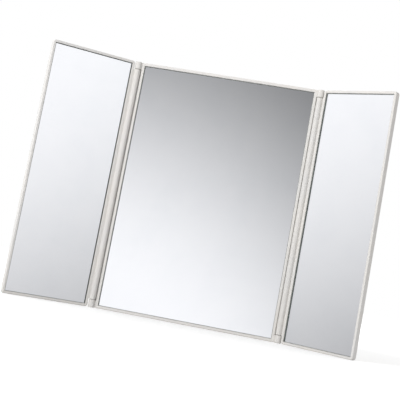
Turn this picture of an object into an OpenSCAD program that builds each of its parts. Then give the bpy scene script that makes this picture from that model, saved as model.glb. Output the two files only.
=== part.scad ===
// Folding triptych mirror: a centre panel with two half-width wings on front hinges.
// +Z is up and the viewer stands at -Y. The origin is on the table, under the middle of the
// centre frame. Each panel is drawn by itself, with x across it, y from front to back and z up.

/* [Panels] */
// Height of the three panels
panel_h = 300; // [200:1:420]
// Distance between the two hinge axes
hinge_span = 225; // [160:1:320]
// Gap left between the wings when both are folded onto the centre
closed_gap = 5; // [1:0.5:20]
// Fold of each wing out of the centre panel's plane, in degrees
fold = 36.5; // [0:0.5:120]

/* [Frame moulding] */
// Width of the rim that shows around the centre mirror
center_rim = 3.5; // [2.2:0.1:6]
// Width of the rim that shows around each wing's mirror
wing_rim = 3.1; // [2.2:0.1:6]
// Radius of the inner corners of the rims
window_r = 0.3; // [0.2:0.1:3]
// Radius along the outer edges of the rim
edge_r = 0.8; // [0.3:0.1:1]
// Radius of the rims' inner edge in front of the mirrors
lip_r = 0.6; // [0.2:0.1:0.9]
// Wall of the rim outside the back panel
back_wall = 1.3; // [1.2:0.1:1.6]

/* [Mirror and back] */
// Depth of the mirror's face below the front of the rim
mirror_recess = 1; // [0.5:0.1:2]
// Thickness of the mirror pane
mirror_t = 2; // [2:0.5:4]
// Gap between the mirror pane and the rim
mirror_gap = 0.2; // [0.1:0.1:1]
// Ground bevel along the pane's front edge
mirror_bevel = 0.3; // [0.1:0.1:0.8]
// Thickness of the foam tape behind the pane
tape_t = 1.5; // [1:0.1:3]
// Width of a strip of foam tape
tape_w = 20; // [10:1:30]
// Distance from the ends of a strip of tape to the ends of the pane
tape_inset = 25; // [10:1:60]
// Strips of tape behind the centre pane
center_strips = 4; // [2:1:5]
// Strips of tape behind each wing's pane
wing_strips = 2; // [1:1:3]
// Thickness of the back panel
back_t = 2; // [1.5:0.1:3]
// Gap between the back panel and the rim's wall
back_gap = 0.15; // [0.1:0.05:0.3]
// Bevel around the outside of the back panel
back_bevel = 0.3; // [0.1:0.1:0.6]

/* [Hinges] */
// Diameter of the barrels and knuckles
barrel_d = 7.6; // [6:0.1:9]
// Height of each knuckle on the centre frame
knuckle_h = 9; // [6:0.1:20]
// Bevel at the ends of the knuckles
knuckle_bevel = 0.4; // [0.2:0.1:0.8]
// Distance of the hinge axes in front of the rims
hinge_lift = 0.4; // [0.2:0.1:1]
// Gap between the round parts of a hinge and the frame beside them
hinge_gap = 0.6; // [0.4:0.1:1]
// Gap left at the stop behind the barrel when a wing is open flat
stop_gap = 0.4; // [0.3:0.1:0.6]
// Diameter of the hinge pins
pin_d = 2.5; // [2:0.1:3]
// Length of a hinge pin inside the barrel
pin_grip = 15; // [8:1:30]
// Depth of the pin's end below the end of the knuckle
pin_sink = 0.6; // [0.2:0.1:1.5]
// Radial clearance of the pin in the barrel, which turns on it
pin_play = 0.06; // [0.03:0.01:0.09]
// Radial clearance of the pin in the knuckle, which holds it
pin_seat = 0.01; // [0.01:0.01:0.02]
// Thickness of the washer between a knuckle and the barrel
washer_t = 0.8; // [0.5:0.1:1.5]
// Outer diameter of the washers
washer_d = 6.6; // [4:0.1:6.8]
// Space left between a washer and the barrel
end_play = 0.1; // [0.1:0.05:0.3]

/* [Colours] */
// Moulded frames
frame_colour = "#e2dfd8"; // [#e2dfd8, #ffffff, #2b2b2b]
// Back panels
back_colour = "#dbd8d0"; // [#dbd8d0, #ffffff, #2b2b2b]
// Mirror panes
mirror_colour = "#c9d2d6"; // [#c9d2d6, #b9c6cc]

/* [Hidden] */
$fn = 64;
// How far a cut runs past the surface that it opens
cut = 0.5;

panel_t = mirror_recess + mirror_t + tape_t + back_t;
back_seat = panel_t - back_t;
// Distance from a panel's edge to its back panel
back_inset = back_wall + back_gap;
barrel_r = barrel_d / 2;
pin_r = pin_d / 2;
// Distance from a hinge axis to the rims on both of its sides
hinge_side = barrel_r + hinge_gap;
center_w = hinge_span - 2 * hinge_side;
wing_reach = (hinge_span - closed_gap) / 2;
wing_w = wing_reach - hinge_side;
// Distance from the ends of a panel to the ends of the barrel
barrel_end = knuckle_h + washer_t + end_play;

// Outer radius of the corners of a rim, and distance from a panel's edge to its mirror pane
function corner_r(rim_w) = rim_w + window_r;
function pane_inset(rim_w) = rim_w + mirror_gap;

// Section of a rim: x runs in from its outer face, y runs back from its front
module rim_section(rim_w) {
    difference() {
        union() {
            translate([edge_r, 0]) square([rim_w - edge_r - lip_r, panel_t]);
            translate([0, edge_r]) square([rim_w - lip_r, panel_t - 2 * edge_r]);
            translate([edge_r, lip_r]) square([rim_w - edge_r, panel_t - edge_r - lip_r]);
            for (y = [edge_r, panel_t - edge_r]) {
                translate([edge_r, y]) circle(edge_r);
            }
            translate([rim_w - lip_r, lip_r]) circle(lip_r);
        }
        translate([back_wall, back_seat]) square([rim_w, back_t + cut]);
    }
}

// Upright bar of the rim at the right side of a panel
module rim_upright(w, h, rim_w) {
    translate([w, 0, corner_r(rim_w)])
        mirror([1, 0, 0])
            linear_extrude(h - 2 * corner_r(rim_w)) rim_section(rim_w);
}

// Bar of the rim along the bottom of a panel
module rim_rail(w, rim_w) {
    translate([w - corner_r(rim_w), 0, 0])
        rotate([0, -90, 0])
            linear_extrude(w - 2 * corner_r(rim_w)) rim_section(rim_w);
}

// Round corner of the rim at the bottom right of a panel
module rim_corner(w, rim_w) {
    translate([w - corner_r(rim_w), 0, corner_r(rim_w)])
        rotate([-90, 0, 0])
            rotate_extrude(angle = 90)
                translate([corner_r(rim_w), 0]) mirror([1, 0]) rim_section(rim_w);
}

// Right side and bottom of a rim, with the two corners at the right
module half_rim(w, h, rim_w) {
    rim_upright(w, h, rim_w);
    rim_rail(w, rim_w);
    rim_corner(w, rim_w);
    translate([0, 0, h]) mirror([0, 0, 1]) rim_corner(w, rim_w);
}

// Closed rim of a panel, from x = 0 to w and from z = 0 to h
module rim(w, h, rim_w) {
    half_rim(w, h, rim_w);
    translate([w, 0, h]) rotate([0, 180, 0]) half_rim(w, h, rim_w);
}

// Plate edge seen from its end, with its front corners bevelled
module bevelled_edge(length, thickness, bevel) {
    polygon([
        [bevel, 0], [length - bevel, 0], [length, bevel],
        [length, thickness], [0, thickness], [0, bevel]
    ]);
}

// Flat plate from the origin to [w, thickness, h] with a bevel around its front
module bevelled_plate(w, h, thickness, bevel) {
    intersection() {
        linear_extrude(h) bevelled_edge(w, thickness, bevel);
        translate([w, 0, 0])
            rotate([0, -90, 0])
                linear_extrude(w) bevelled_edge(h, thickness, bevel);
    }
}

// Upright prism with round corners, from y = 0 to the thickness
module round_plate(w, h, thickness, r) {
    translate([0, thickness, 0])
        rotate([90, 0, 0])
            linear_extrude(thickness) {
                translate([r, 0]) square([w - 2 * r, h]);
                translate([0, r]) square([w, h - 2 * r]);
                for (x = [r, w - r], z = [r, h - r]) {
                    translate([x, z]) circle(r);
                }
            }
}

// Mirror pane of a panel w wide
module pane(w, rim_w) {
    inset = pane_inset(rim_w);
    color(mirror_colour)
        translate([inset, mirror_recess, inset])
            bevelled_plate(w - 2 * inset, panel_h - 2 * inset, mirror_t, mirror_bevel);
}

// Back panel of a panel w wide, let into the back of the rim
module back_panel(w, rim_w) {
    plate_w = w - 2 * back_inset;
    plate_h = panel_h - 2 * back_inset;
    color(back_colour)
        translate([back_inset, back_seat, back_inset])
            intersection() {
                round_plate(plate_w, plate_h, back_t, corner_r(rim_w) - back_inset);
                translate([0, back_t, plate_h])
                    rotate([180, 0, 0])
                        bevelled_plate(plate_w, plate_h, back_t, back_bevel);
            }
}

// Upright strips of foam tape between the pane and the back panel
module tape(w, rim_w, strips) {
    inset = pane_inset(rim_w);
    pitch = (w - 2 * inset) / strips;
    strip_h = panel_h - 2 * (inset + tape_inset);
    color("white")
        for (i = [0 : strips - 1]) {
            translate([inset + (i + 0.5) * pitch - tape_w / 2,
                       mirror_recess + mirror_t,
                       inset + tape_inset])
                cube([tape_w, tape_t, strip_h]);
        }
}

// Bar from the stop behind the barrel to a rim, with a round edge at the stop's back.
// It starts at a depth of front_y, and the hinge axis is at x = 0.
module stop_bar(front_y) {
    start_x = stop_gap / 2;
    end_x = hinge_side + edge_r;
    translate([start_x, front_y]) square([end_x - start_x, panel_t - edge_r - front_y]);
    translate([start_x + edge_r, front_y]) square([end_x - start_x - edge_r, panel_t - front_y]);
    translate([start_x + edge_r, panel_t - edge_r]) circle(edge_r);
}

// Section of the flange of the centre frame, hollowed out around the barrel
module channel_section() {
    difference() {
        mirror([1, 0]) stop_bar(edge_r);
        translate([0, -hinge_lift]) circle(hinge_side);
    }
}

// Section of the barrel and of the leaf that joins it to the wing's rim
module leaf_section() {
    translate([0, -hinge_lift]) circle(barrel_r);
    stop_bar(0);
}

// Filling beside the foot of the right hinge, outside the round corner of the centre's rim
module corner_filling() {
    r = corner_r(center_rim);
    translate([-hinge_side, panel_t, 0])
        mirror([1, 0, 0])
            rotate([90, 0, 0])
                linear_extrude(panel_t)
                    difference() {
                        translate([0, knuckle_bevel]) square([r, r - knuckle_bevel]);
                        translate([r, r]) circle(r - edge_r);
                    }
}

// Knuckle at the foot of the right hinge, with the web that joins it to the centre's rim
module knuckle() {
    translate([0, -hinge_lift, 0]) {
        cylinder(h = knuckle_bevel, r1 = barrel_r - knuckle_bevel, r2 = barrel_r);
        translate([0, 0, knuckle_bevel])
            cylinder(h = knuckle_h - 2 * knuckle_bevel, r = barrel_r);
        translate([0, 0, knuckle_h - knuckle_bevel])
            cylinder(h = knuckle_bevel, r1 = barrel_r, r2 = barrel_r - knuckle_bevel);
    }
    translate([0, 0, knuckle_bevel])
        linear_extrude(knuckle_h - 2 * knuckle_bevel)
            mirror([1, 0]) stop_bar(0);
    corner_filling();
}

// Hinge side of the centre frame: the flange over its whole height and the two knuckles
module center_hinge() {
    difference() {
        union() {
            translate([0, 0, edge_r])
                linear_extrude(panel_h - 2 * edge_r) channel_section();
            both_ends() knuckle();
        }
        both_ends()
            translate([0, -hinge_lift, -cut])
                cylinder(h = knuckle_h + 2 * cut, r = pin_r + pin_seat);
    }
}

// Rim, leaf and barrel of the right wing, with the hinge axis at x = 0
module wing_frame() {
    difference() {
        union() {
            translate([hinge_side, 0, 0]) rim(wing_w, panel_h, wing_rim);
            translate([0, 0, barrel_end])
                linear_extrude(panel_h - 2 * barrel_end) leaf_section();
        }
        both_ends()
            translate([0, -hinge_lift, barrel_end - cut])
                cylinder(h = pin_grip + 2 * cut, r = pin_r + pin_play);
    }
}

// Pin of a lower knuckle
module pin() {
    color("#b9bcc0")
        translate([0, -hinge_lift, pin_sink])
            cylinder(h = barrel_end + pin_grip - pin_sink, r = pin_r);
}

// Washer above a lower knuckle
module washer() {
    color("#cfccc4")
        translate([0, -hinge_lift, knuckle_h])
            difference() {
                cylinder(h = washer_t, r = washer_d / 2);
                translate([0, 0, -cut])
                    cylinder(h = washer_t + 2 * cut, r = pin_r + pin_play);
            }
}

// The same shape at the bottom of a panel and, upside down, at its top
module both_ends() {
    children();
    at_top() children();
}

module at_top() {
    translate([0, 0, panel_h]) mirror([0, 0, 1]) children();
}

module at_left() {
    mirror([1, 0, 0]) children();
}

// Places a panel that is drawn from x = 0 at the centre
module on_center() {
    translate([-center_w / 2, -panel_t / 2, 0]) children();
}

// Places a shape that is drawn with the hinge axis at x = 0 and y = -hinge_lift
module on_right_hinge() {
    translate([hinge_span / 2, -panel_t / 2, 0]) children();
}

// The same, folded forward with the right wing
module on_right_wing() {
    on_right_hinge()
        translate([0, -hinge_lift, 0])
            rotate([0, 0, -fold])
                translate([0, hinge_lift, 0]) children();
}

// Centre panel
module center_frame() {
    color(frame_colour) {
        on_center() rim(center_w, panel_h, center_rim);
        on_right_hinge() center_hinge();
        at_left() on_right_hinge() center_hinge();
    }
}

module center_back_panel() { on_center() back_panel(center_w, center_rim); }
module center_mirror() { on_center() pane(center_w, center_rim); }
module center_tape() { on_center() tape(center_w, center_rim, center_strips); }

// Right wing
module right_frame() { color(frame_colour) on_right_wing() wing_frame(); }
module right_back_panel() {
    on_right_wing() translate([hinge_side, 0, 0]) back_panel(wing_w, wing_rim);
}
module right_mirror() {
    on_right_wing() translate([hinge_side, 0, 0]) pane(wing_w, wing_rim);
}
module right_tape() {
    on_right_wing() translate([hinge_side, 0, 0]) tape(wing_w, wing_rim, wing_strips);
}

// Left wing, the mirror image of the right one
module left_frame() { at_left() right_frame(); }
module left_back_panel() { at_left() right_back_panel(); }
module left_mirror() { at_left() right_mirror(); }
module left_tape() { at_left() right_tape(); }

// Pins and washers of the hinges
module right_lower_pin() { on_right_hinge() pin(); }
module right_upper_pin() { at_top() right_lower_pin(); }
module left_lower_pin() { at_left() right_lower_pin(); }
module left_upper_pin() { at_left() right_upper_pin(); }
module right_lower_washer() { on_right_hinge() washer(); }
module right_upper_washer() { at_top() right_lower_washer(); }
module left_lower_washer() { at_left() right_lower_washer(); }
module left_upper_washer() { at_left() right_upper_washer(); }

center_frame();
center_back_panel();
center_mirror();
center_tape();
left_frame();
left_back_panel();
left_mirror();
left_tape();
right_frame();
right_back_panel();
right_mirror();
right_tape();
left_upper_pin();
left_lower_pin();
right_upper_pin();
right_lower_pin();
left_upper_washer();
left_lower_washer();
right_upper_washer();
right_lower_washer();
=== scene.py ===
import math

import bpy
from mathutils import Matrix, Vector

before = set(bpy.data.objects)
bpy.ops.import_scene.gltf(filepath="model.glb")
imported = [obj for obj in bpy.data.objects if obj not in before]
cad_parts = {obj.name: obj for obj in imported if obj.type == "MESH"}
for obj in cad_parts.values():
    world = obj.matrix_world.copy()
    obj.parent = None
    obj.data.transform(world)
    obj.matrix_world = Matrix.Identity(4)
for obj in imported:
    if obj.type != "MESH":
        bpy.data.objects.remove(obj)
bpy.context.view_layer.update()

MM = 0.001

# Fold of the wings, and the directions that the panes face, in the frame at rest
FOLD = math.radians(36.5)
FACING = {
    "center": Vector((0, -1, 0)),
    "left": Vector((math.sin(FOLD), -math.cos(FOLD), 0)),
    "right": Vector((-math.sin(FOLD), -math.cos(FOLD), 0)),
}
HINGES = ("left_upper", "left_lower", "right_upper", "right_lower")

# A pane's faces, told apart by the cosine of their lean: front or back above the first value,
# ground edge below the second, arris between them
PANE_FACE = 0.95
PANE_EDGE = 0.2

# Cosine of the lean above which an edge counts as a top or a bottom
LEVEL_EDGE = 0.7

# How far the faces of the foam tape are drawn in behind the silver that they stick to
TAPE_SEAT = 0.1 * MM

# Colours, as linear light
FRAME_COLOUR = (0.773, 0.756, 0.734, 1)
BACK_COLOUR = (0.72, 0.70, 0.665, 1)
# Washers are darkened past their own colour, to paint the shade in the seams under the knuckles
WASHER_SEAM_SHADE_COLOUR = (0.40, 0.385, 0.365, 1)
# Colour of the dust and of the painted shade in corners, creases and seams
DUST_AND_SHADE_COLOUR = (0.42, 0.40, 0.36, 1)
RUBBED_COLOUR = (0.86, 0.85, 0.83, 1)
GLASS_COLOUR = (0.985, 0.99, 0.99, 1)
SMEAR_COLOUR = (0.955, 0.965, 0.97, 1)
SILVER_COLOUR = (0.95, 0.955, 0.985, 1)
CLOUD_COLOUR = (0.93, 0.935, 0.97, 1)
FOAM_COLOUR = (0.82, 0.82, 0.80, 1)
CELL_COLOUR = (0.70, 0.70, 0.68, 1)
STEEL_COLOUR = (0.56, 0.57, 0.58, 1)
LINE_COLOUR = (0.47, 0.48, 0.49, 1)
WHITE = (1, 1, 1, 1)

# Tints between which the plastic's mottle wanders
WARM_TINT = (1.012, 1.0, 0.985, 1)
COOL_TINT = (0.985, 0.99, 1.0, 1)

# Moulded plastics: colour, grain scale, grain depth, roughness, radius of the rubbed edges
PLASTICS = {
    "frame_plastic": (FRAME_COLOUR, 2600.0, 0.03 * MM, 0.42, 0.6 * MM),
    "back_plastic": (BACK_COLOUR, 1500.0, 0.08 * MM, 0.58, 0.4 * MM),
    "washer_seam_shade_plastic": (WASHER_SEAM_SHADE_COLOUR, 3000.0, 0.01 * MM, 0.38, 0.2 * MM),
}

# How far from a corner the dust and the painted shade of hollows reach, and how strongly they and the
# wear show
DUST_AND_SHADE_REACH = 4.5 * MM
DUST_AND_SHADE_SHARE = 0.5
WEAR_SHARE = 0.3

# Ground edges of the panes, as darker and lighter copies of one ground glass set by side for
# painted shade and painted light: darkest and lightest colour of each shade, and the edges that
# aren't of the middle shade
EDGE_PAINTED_SHADE_COLOURS = {
    "dark": ((0.05, 0.08, 0.065, 1), (0.09, 0.13, 0.11, 1)),
    "mid": ((0.16, 0.23, 0.19, 1), (0.24, 0.32, 0.27, 1)),
    "light": ((0.50, 0.54, 0.51, 1), (0.62, 0.65, 0.63, 1)),
}
EDGE_PAINTED_SHADES = {
    "center": {"top": "light"},
    "left": {"top": "dark", "right": "dark"},
    "right": {"bottom": "light"},
}
ARRIS_COLOURS = ((0.58, 0.62, 0.59, 1), (0.70, 0.73, 0.71, 1))

# Soft white patches of the studio, as the mirrors and the gloss see them: where each lies from
# the front of the mirror, in degrees to the right and up, how far it is full and where it ends
STUDIO_PATCHES = (
    (-17, -9.5, 9, 26),
    (41.5, 23.5, 18, 43),
    (-108, 40, 38.5, 63.5),
)
STUDIO_WHITE = 1.03
STUDIO_GREY = 0.2

# Light of the table in the mirrors: its share of the white, and the degrees below the horizon
# where it starts and where it is full
TABLE_GLOW = 0.75
TABLE_START = 3
TABLE_FULL = 20

# Plain level of the studio's light, apart from what the mirrors and the gloss show
AMBIENT_LEVEL = 0.56

# Lamps: place, width in metres and power in watts; all point at the middle of the mirror
LAMPS = {
    "key_lamp": ((-1.05, -1.56, 1.15), 1.1, 25),
    "back_lamp": ((0.35, 1.8, 1.3), 1.1, 10),
}
LAMP_AIM = Vector((0, 0, 0.15))

# Table top: half its width, its colour, how much the camera sees it lifted towards white near
# the mirror and away from it, and the distances between which that changes, so that the
# mirror's soft shadow stays
TABLE_HALF = 6.0
TABLE_COLOUR = (0.9, 0.9, 0.9, 1)
TABLE_LIFT = (0.34, 0.6)
SHADOW_REACH = (0.3, 0.7)

# Camera of the photograph
CAMERA_PLACE = (0.2276, -1.3023, 0.0613)
CAMERA_YAW = 9.32
CAMERA_PITCH = 7.37
CAMERA_ROLL = 10.49
CAMERA_LENS = 100.24
CAMERA_SHIFT = (-0.0764, -0.1664)
CAMERA_NEAR = 0.01


# Nodes of the shaders


def add(tree, kind, inputs=None, **settings):
    """A new node, with its settings, and its inputs as values or as sockets to link from."""
    made = tree.nodes.new(kind)
    for name, value in settings.items():
        setattr(made, name, value)
    for name, value in (inputs or {}).items():
        if isinstance(value, bpy.types.NodeSocket):
            tree.links.new(value, made.inputs[name])
        else:
            made.inputs[name].default_value = value
    return made


def maths(tree, operation, *values):
    """The result of a Math node."""
    return add(tree, "ShaderNodeMath", dict(enumerate(values)), operation=operation).outputs[0]


def ramp(tree, value, start, end, low=0.0, high=1.0):
    """A value carried smoothly from low at start to high at end."""
    inputs = {"Value": value, "From Min": start, "From Max": end, "To Min": low, "To Max": high}
    made = add(tree, "ShaderNodeMapRange", inputs, interpolation_type="SMOOTHSTEP")
    return made.outputs["Result"]


def blend_values(tree, share, first, second):
    """Two values mixed by a share."""
    inputs = {0: share, 2: first, 3: second}
    return add(tree, "ShaderNodeMix", inputs, data_type="FLOAT").outputs[0]


def blend_colours(tree, share, first, second):
    """Two colours mixed by a share."""
    inputs = {0: share, 6: first, 7: second}
    return add(tree, "ShaderNodeMix", inputs, data_type="RGBA").outputs[2]


def tinted(colour, tint):
    """A colour times a tint."""
    return tuple(c * t for c, t in zip(colour, tint))


def place_on(tree):
    """The place on the piece itself, so that the finish moves with it."""
    return add(tree, "ShaderNodeTexCoord").outputs["Object"]


def noise(tree, place, scale, detail=2.0, roughness=0.5):
    """Soft noise over a place, as a value from 0 to 1."""
    inputs = {"Vector": place, "Scale": scale, "Detail": detail, "Roughness": roughness}
    return add(tree, "ShaderNodeTexNoise", inputs).outputs["Fac"]


def cells(tree, place, scale, feature):
    """Distance from the middles of scattered cells."""
    inputs = {"Vector": place, "Scale": scale, "Randomness": 1.0}
    return add(tree, "ShaderNodeTexVoronoi", inputs, feature=feature).outputs["Distance"]


def relief(tree, strength, depth, height):
    """The normal of a surface with this relief."""
    inputs = {"Strength": strength, "Distance": depth, "Height": height}
    return add(tree, "ShaderNodeBump", inputs).outputs["Normal"]


def new_group(name, inputs, outputs):
    """An empty shader group: inputs as {name: usual value} and outputs as names, all numbers."""
    tree = bpy.data.node_groups.new(name, "ShaderNodeTree")
    for socket, value in inputs.items():
        made = tree.interface.new_socket(socket, in_out="INPUT", socket_type="NodeSocketFloat")
        made.default_value = value
    for socket in outputs:
        tree.interface.new_socket(socket, in_out="OUTPUT", socket_type="NodeSocketFloat")
    return tree, tree.nodes.new("NodeGroupInput"), tree.nodes.new("NodeGroupOutput")


def use(tree, group, **values):
    """Places a shared effect in a material."""
    made = add(tree, "ShaderNodeGroup", node_tree=group)
    for name, value in values.items():
        made.inputs[name].default_value = value
    return made.outputs


def new_material(name):
    """A material with nothing in its tree, and that tree."""
    material = bpy.data.materials.new(name)
    material.use_nodes = True
    material.node_tree.nodes.clear()
    return material, material.node_tree


def finish_material(tree, inputs):
    """Joins a Principled shader with these inputs to the material's output."""
    shader = add(tree, "ShaderNodeBsdfPrincipled", inputs)
    add(tree, "ShaderNodeOutputMaterial", {"Surface": shader.outputs[0]})


# Effects that several materials share


def make_edge_wear():
    """Mask of the outer edges that hands and tables rub, broken up along their length."""
    tree, given, result = new_group("edge_wear", {"Radius": 0.6 * MM, "Patchiness": 0.5}, ("Wear",))
    rounded = add(tree, "ShaderNodeBevel", {"Radius": given.outputs["Radius"]}, samples=4)
    flat = add(tree, "ShaderNodeNewGeometry").outputs["Normal"]
    inputs = {0: rounded.outputs["Normal"], 1: flat}
    along = add(tree, "ShaderNodeVectorMath", inputs, operation="DOT_PRODUCT").outputs["Value"]
    edge = ramp(tree, along, 0.995, 0.82)
    patches = ramp(tree, noise(tree, place_on(tree), scale=60.0, detail=3.0), 0.35, 0.65)
    lost = maths(tree, "MULTIPLY", given.outputs["Patchiness"], patches)
    kept = maths(tree, "SUBTRACT", 1.0, lost)
    tree.links.new(maths(tree, "MULTIPLY", edge, kept), result.inputs["Wear"])
    return tree


def make_mould_grain():
    """Fine spark-eroded texture of a mould, with the slow ripple of the plastic under it."""
    tree, given, result = new_group(
        "mould_grain", {"Scale": 2600.0, "Ripple": 0.25}, ("Height", "Mottle")
    )
    place = place_on(tree)
    pits = cells(tree, place, given.outputs["Scale"], "SMOOTH_F1")
    grit = noise(tree, place, scale=3400.0, detail=2.0)
    swell = noise(tree, place, scale=26.0, detail=1.0)
    ripple = maths(tree, "MULTIPLY", swell, given.outputs["Ripple"])
    pits_share = maths(tree, "MULTIPLY", pits, 0.6)
    grit_share = maths(tree, "MULTIPLY", grit, 0.4)
    fine = maths(tree, "ADD", pits_share, grit_share)
    tree.links.new(maths(tree, "ADD", fine, ripple), result.inputs["Height"])
    mottle = noise(tree, place, scale=18.0, detail=4.0, roughness=0.6)
    tree.links.new(mottle, result.inputs["Mottle"])
    return tree


def make_dust_and_shade():
    """Mask of corners and seams, where dust settles and where shade is painted because less light gets
    in.
    """
    tree, given, result = new_group("corner_dust_and_shade", {"Reach": 1.5 * MM}, ("Dust_and_shade",))
    inputs = {"Distance": given.outputs["Reach"]}
    open_share = add(tree, "ShaderNodeAmbientOcclusion", inputs, samples=4).outputs["AO"]
    corner = ramp(tree, open_share, 0.95, 0.25)
    grains = noise(tree, place_on(tree), scale=900.0, detail=3.0)
    speckle = ramp(tree, grains, 0.35, 0.7, low=0.55, high=1.0)
    tree.links.new(maths(tree, "MULTIPLY", corner, speckle), result.inputs["Dust_and_shade"])
    return tree


EDGE_WEAR = make_edge_wear()
MOULD_GRAIN = make_mould_grain()
CORNER_DUST_AND_SHADE = make_dust_and_shade()


# Materials


def moulded_plastic(name, colour, grain_scale, grain_depth, roughness, wear_radius):
    """Satin moulded plastic with rubbed edges, faint mottle, and a little dust and painted shade in
    its corners.
    """
    material, tree = new_material(name)
    grain = use(tree, MOULD_GRAIN, Scale=grain_scale)
    wear = use(tree, EDGE_WEAR, Radius=wear_radius, Patchiness=0.6)["Wear"]
    dust_and_shade = use(tree, CORNER_DUST_AND_SHADE, Reach=DUST_AND_SHADE_REACH)["Dust_and_shade"]
    mottle = ramp(tree, grain["Mottle"], 0.3, 0.7)
    base = blend_colours(tree, mottle, tinted(colour, COOL_TINT), tinted(colour, WARM_TINT))
    # Corners and seams darkened towards this colour: dust, and painted shade where less light gets in
    base = blend_colours(tree, maths(tree, "MULTIPLY", dust_and_shade, DUST_AND_SHADE_SHARE), base, DUST_AND_SHADE_COLOUR)
    base = blend_colours(tree, maths(tree, "MULTIPLY", wear, WEAR_SHARE), base, RUBBED_COLOUR)
    uneven = maths(tree, "MULTIPLY", mottle, 0.06)
    rough = maths(tree, "ADD", roughness - 0.03, uneven)
    polish = maths(tree, "MULTIPLY", wear, 0.12)
    rough = maths(tree, "SUBTRACT", rough, polish)
    normal = relief(tree, 0.35, grain_depth, grain["Height"])
    finish_material(tree, {"Base Color": base, "Roughness": rough, "IOR": 1.5, "Normal": normal})
    return material


def clear_glass():
    """Front of a pane: clear float glass with the faintest smears."""
    material, tree = new_material("clear_glass")
    wiped = noise(tree, place_on(tree), scale=14.0, detail=5.0, roughness=0.6)
    smear = ramp(tree, wiped, 0.42, 0.75)
    finish_material(
        tree,
        {
            "Base Color": blend_colours(tree, smear, GLASS_COLOUR, SMEAR_COLOUR),
            "Metallic": 0.0,
            "Roughness": maths(tree, "MULTIPLY", smear, 0.012),
            "IOR": 1.52,
            "Transmission Weight": 1.0,
        },
    )
    return material


def ground_glass(name, darkest, lightest):
    """Ground glass, frosted by the wheel."""
    material, tree = new_material(name)
    grinding = noise(tree, place_on(tree), scale=1800.0, detail=3.0, roughness=0.6)
    base = blend_colours(tree, ramp(tree, grinding, 0.3, 0.7), darkest, lightest)
    rough = maths(tree, "ADD", 0.35, maths(tree, "MULTIPLY", grinding, 0.25))
    normal = relief(tree, 1.0, 0.05 * MM, grinding)
    finish_material(tree, {"Base Color": base, "Roughness": rough, "Normal": normal})
    return material


def silvering():
    """Back of a pane: the silver that mirrors through the glass."""
    material, tree = new_material("silvering")
    cloud = noise(tree, place_on(tree), scale=40.0, detail=4.0)
    base = blend_colours(tree, cloud, SILVER_COLOUR, CLOUD_COLOUR)
    rough = maths(tree, "MULTIPLY", cloud, 0.012)
    finish_material(tree, {"Base Color": base, "Metallic": 1.0, "Roughness": rough})
    return material


def foam_tape():
    """White closed-cell foam with its cells open at the cut sides."""
    material, tree = new_material("foam_tape")
    foam = cells(tree, place_on(tree), 2200.0, "F1")
    base = blend_colours(tree, ramp(tree, foam, 0.2, 0.8), CELL_COLOUR, FOAM_COLOUR)
    normal = relief(tree, 0.8, 0.12 * MM, foam)
    finish_material(tree, {"Base Color": base, "Roughness": 0.85, "Normal": normal})
    return material


def drawn_steel():
    """Pin wire with fine lines along the pin."""
    material, tree = new_material("drawn_steel")
    inputs = {"Vector": place_on(tree), "Scale": (9000.0, 9000.0, 120.0)}
    stretched = add(tree, "ShaderNodeMapping", inputs).outputs[0]
    lines = noise(tree, stretched, scale=1.0, detail=3.0, roughness=0.6)
    base = blend_colours(tree, lines, LINE_COLOUR, STEEL_COLOUR)
    rough = maths(tree, "ADD", 0.22, maths(tree, "MULTIPLY", lines, 0.2))
    normal = relief(tree, 0.25, 0.02 * MM, lines)
    finish_material(
        tree, {"Base Color": base, "Metallic": 1.0, "Roughness": rough, "Normal": normal}
    )
    return material


# Pieces


def dress(node, material):
    """Gives a CAD node its material."""
    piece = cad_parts[node]
    piece.data.materials.clear()
    piece.data.materials.append(material)


def side_of(normal):
    """The side of a panel that an edge with this normal faces."""
    if abs(normal.z) > LEVEL_EDGE:
        return "top" if normal.z > 0 else "bottom"
    return "right" if normal.x > 0 else "left"


def dress_pane(node, facing, shades, materials):
    """Gives a pane glass on its front, silver on its back, and ground edges and arrises between."""
    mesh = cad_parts[node].data
    mesh.materials.clear()
    for material in materials.values():
        mesh.materials.append(material)
    slots = list(materials)
    for face in mesh.polygons:
        towards = face.normal.dot(facing)
        if towards > PANE_FACE:
            chosen = "glass"
        elif towards < -PANE_FACE:
            chosen = "silver"
        else:
            # Each side's edge takes a darker or lighter copy of the ground glass, as painted shade or
            # painted light
            chosen = shades.get(side_of(face.normal), "mid")
            # On the darkest sides the arris is painted dark too, as painted shade
            if abs(towards) > PANE_EDGE:
                chosen = "dark" if chosen == "dark" else "arris"
        face.material_index = slots.index(chosen)


def draw_in(node, depth):
    """Draws a node's faces in by a hair, as seen, so that they don't coincide with what they touch."""
    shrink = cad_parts[node].modifiers.new("draw_in", "DISPLACE")
    shrink.mid_level = 0
    shrink.strength = -depth


def dress_all():
    """Dresses every node of the frame."""
    plastic = {name: moulded_plastic(name, *finish) for name, finish in PLASTICS.items()}
    tape = foam_tape()
    steel = drawn_steel()
    pane = {"glass": clear_glass(), "silver": silvering()}
    pane["arris"] = ground_glass("frosted_arris", *ARRIS_COLOURS)
    for shade, colours in EDGE_PAINTED_SHADE_COLOURS.items():
        pane[shade] = ground_glass(f"ground_edge_painted_{shade}", *colours)
    for panel, facing in FACING.items():
        dress(f"{panel}_frame", plastic["frame_plastic"])
        dress(f"{panel}_back_panel", plastic["back_plastic"])
        dress_pane(f"{panel}_mirror", facing, EDGE_PAINTED_SHADES[panel], pane)
        dress(f"{panel}_tape", tape)
        draw_in(f"{panel}_tape", TAPE_SEAT)
    for hinge in HINGES:
        dress(f"{hinge}_pin", steel)
        # Washers in the darkened plastic, as painted shade in the seams
        dress(f"{hinge}_washer", plastic["washer_seam_shade_plastic"])


# Stage


def direction(right, up):
    """Unit vector towards a place of the studio, in degrees to the right and up from the front."""
    a = math.radians(right)
    e = math.radians(up)
    return (math.sin(a) * math.cos(e), -math.cos(a) * math.cos(e), math.sin(e))


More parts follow.
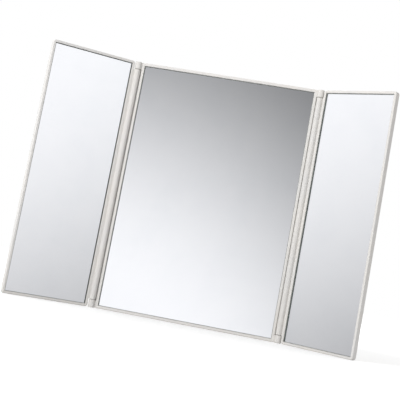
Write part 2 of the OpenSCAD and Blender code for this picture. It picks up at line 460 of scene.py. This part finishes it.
def make_world():
    """White to the camera, a soft studio to the mirrors and a plain level of light to the rest."""
    world = bpy.data.worlds.new("studio")
    bpy.context.scene.world = world
    world.use_nodes = True
    tree = world.node_tree
    tree.nodes.clear()
    looking = add(tree, "ShaderNodeTexCoord").outputs["Generated"]
    glow = 0.0
    for right, up, full, end in STUDIO_PATCHES:
        inputs = {0: looking, 1: direction(right, up)}
        along = add(tree, "ShaderNodeVectorMath", inputs, operation="DOT_PRODUCT").outputs["Value"]
        angle = maths(tree, "ARCCOSINE", along)
        patch = ramp(tree, angle, math.radians(end), math.radians(full))
        glow = maths(tree, "MAXIMUM", glow, patch)
    height = add(tree, "ShaderNodeSeparateXYZ", {0: looking}).outputs["Z"]
    start, full = (-math.sin(math.radians(down)) for down in (TABLE_START, TABLE_FULL))
    table = maths(tree, "MULTIPLY", ramp(tree, height, start, full), TABLE_GLOW)
    glow = maths(tree, "MAXIMUM", glow, table)
    above_grey = maths(tree, "MULTIPLY", glow, STUDIO_WHITE - STUDIO_GREY)
    level = maths(tree, "ADD", STUDIO_GREY, above_grey)
    path = add(tree, "ShaderNodeLightPath").outputs
    reflected = maths(tree, "MAXIMUM", path["Is Glossy Ray"], path["Is Transmission Ray"])
    plain = blend_values(tree, reflected, AMBIENT_LEVEL, level)
    shown = blend_values(tree, path["Is Camera Ray"], plain, 1.0)
    light = add(tree, "ShaderNodeBackground", {"Color": WHITE, "Strength": shown})
    add(tree, "ShaderNodeOutputWorld", {"Surface": light.outputs[0]})


def make_lamp(name, place, width, power):
    """A soft square lamp that points at the middle of the mirror and isn't seen in it."""
    data = bpy.data.lights.new(name, "AREA")
    data.shape = "SQUARE"
    data.size = width
    data.energy = power
    lamp = bpy.data.objects.new(name, data)
    bpy.context.scene.collection.objects.link(lamp)
    lamp.location = place
    lamp.rotation_euler = (Vector(place) - LAMP_AIM).to_track_quat("Z", "Y").to_euler()
    lamp.visible_glossy = False
    lamp.visible_transmission = False


def table_paint():
    """White paint, lifted for the camera alone, and more so away from the mirror's shadow."""
    material, tree = new_material("table_paint")
    paint = add(tree, "ShaderNodeBsdfDiffuse", {"Color": TABLE_COLOUR})
    away = add(tree, "ShaderNodeVectorMath", {0: place_on(tree)}, operation="LENGTH")
    lift = ramp(tree, away.outputs["Value"], *SHADOW_REACH, *TABLE_LIFT)
    seen = add(tree, "ShaderNodeLightPath").outputs["Is Camera Ray"]
    strength = maths(tree, "MULTIPLY", seen, lift)
    glow = add(tree, "ShaderNodeEmission", {"Color": WHITE, "Strength": strength})
    both = add(tree, "ShaderNodeAddShader", {0: paint.outputs[0], 1: glow.outputs[0]})
    add(tree, "ShaderNodeOutputMaterial", {"Surface": both.outputs[0]})
    return material


def make_table():
    """Plain pale table top under the mirror."""
    mesh = bpy.data.meshes.new("table_top")
    corners = [(x * TABLE_HALF, y * TABLE_HALF, 0) for x, y in ((-1, -1), (1, -1), (1, 1), (-1, 1))]
    mesh.from_pydata(corners, [], [(0, 1, 2, 3)])
    mesh.materials.append(table_paint())
    table = bpy.data.objects.new("table_top", mesh)
    bpy.context.scene.collection.objects.link(table)
    table.visible_glossy = False
    table.visible_transmission = False


def make_camera():
    """Camera of the photograph."""
    data = bpy.data.cameras.new("camera")
    data.lens = CAMERA_LENS
    data.shift_x, data.shift_y = CAMERA_SHIFT
    data.clip_start = CAMERA_NEAR
    camera = bpy.data.objects.new("camera", data)
    bpy.context.scene.collection.objects.link(camera)
    turn = Matrix.Rotation(math.radians(CAMERA_YAW), 4, "Z")
    tilt = Matrix.Rotation(math.radians(90 + CAMERA_PITCH), 4, "X")
    roll = Matrix.Rotation(math.radians(CAMERA_ROLL), 4, "Z")
    camera.matrix_world = Matrix.Translation(CAMERA_PLACE) @ turn @ tilt @ roll
    bpy.context.scene.camera = camera


dress_all()
make_world()
for name, lamp in LAMPS.items():
    make_lamp(name, *lamp)
make_table()
make_camera()
bpy.context.scene.view_settings.view_transform = "Standard"
